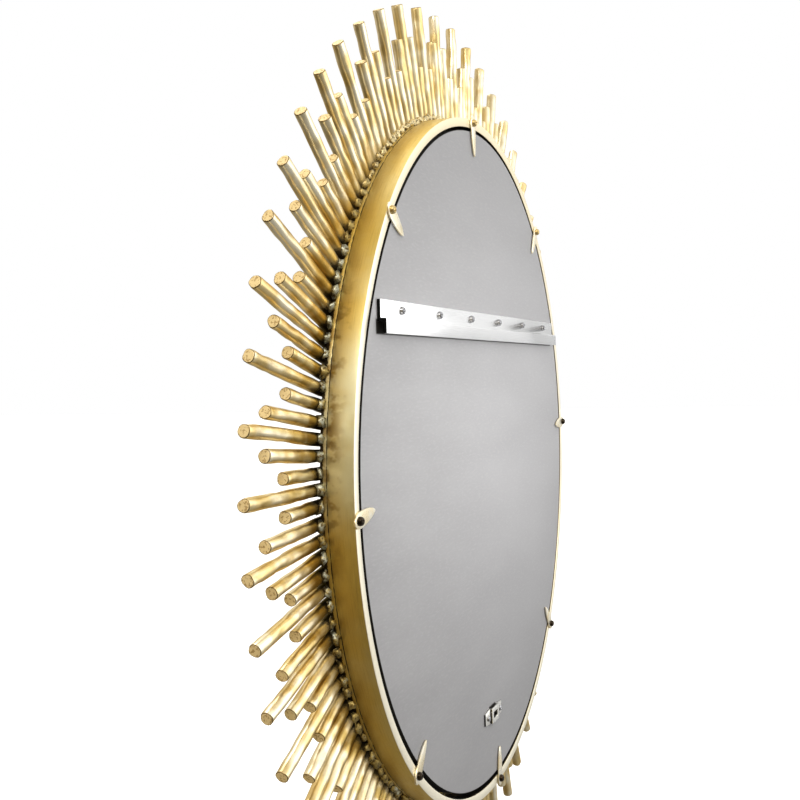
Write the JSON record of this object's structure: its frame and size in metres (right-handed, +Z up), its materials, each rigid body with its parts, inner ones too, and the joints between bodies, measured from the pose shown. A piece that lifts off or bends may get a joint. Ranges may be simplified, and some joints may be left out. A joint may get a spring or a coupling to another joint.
{
  "type": "wall mirror",
  "caption": "Round wall mirror framed by a ring of radiating hammered gold rods, with a backing board held by leaf-shaped clips and a hanging rail on its back.",
  "frame": {"origin": "middle of the hanging rail's wall-side face, which is the face that lies nearest the wall", "axes": "+Z up as it hangs, +Y towards the wall, -Y out of the glass into the room, +X to the right of someone looking into the glass"},
  "size_m": [1.1042, 0.0604, 1.1028],
  "materials": {
    "rod_gold": "hammered iron under antique gold leaf",
    "band_gold": "satin antique gold leaf with darker heat stains",
    "clip_gold": "satin pale gold",
    "board": "matte grey fibreboard",
    "mirror": "silvered float glass",
    "rail": "extruded, fine lengthwise grain",
    "keeper": "zinc plated, satin",
    "bright_screw": "zinc plated",
    "dark_screw": "blackened"
  },
  "bodies": {
    "root": {"mirror_glass": "mirror", "backing_board": "board", "band": "band_gold", "rod_ring": "rod_gold", "clip_1": "clip_gold", "clip_2": "clip_gold", "clip_3": "clip_gold", "clip_4": "clip_gold", "clip_5": "clip_gold", "clip_6": "clip_gold", "clip_7": "clip_gold", "clip_8": "clip_gold", "clip_screw_1": "dark_screw", "clip_screw_2": "dark_screw", "clip_screw_3": "dark_screw", "clip_screw_4": "dark_screw", "clip_screw_5": "dark_screw", "clip_screw_6": "dark_screw", "clip_screw_7": "dark_screw", "clip_screw_8": "dark_screw", "hanging_rail": "rail", "rail_screw_1": "bright_screw", "rail_screw_2": "bright_screw", "rail_screw_3": "bright_screw", "rail_screw_4": "bright_screw", "rail_screw_5": "bright_screw", "rail_screw_6": "bright_screw", "keeper_plate": "keeper", "keeper_screw_1": "bright_screw", "keeper_screw_2": "bright_screw"}
  },
  "joints": []
}
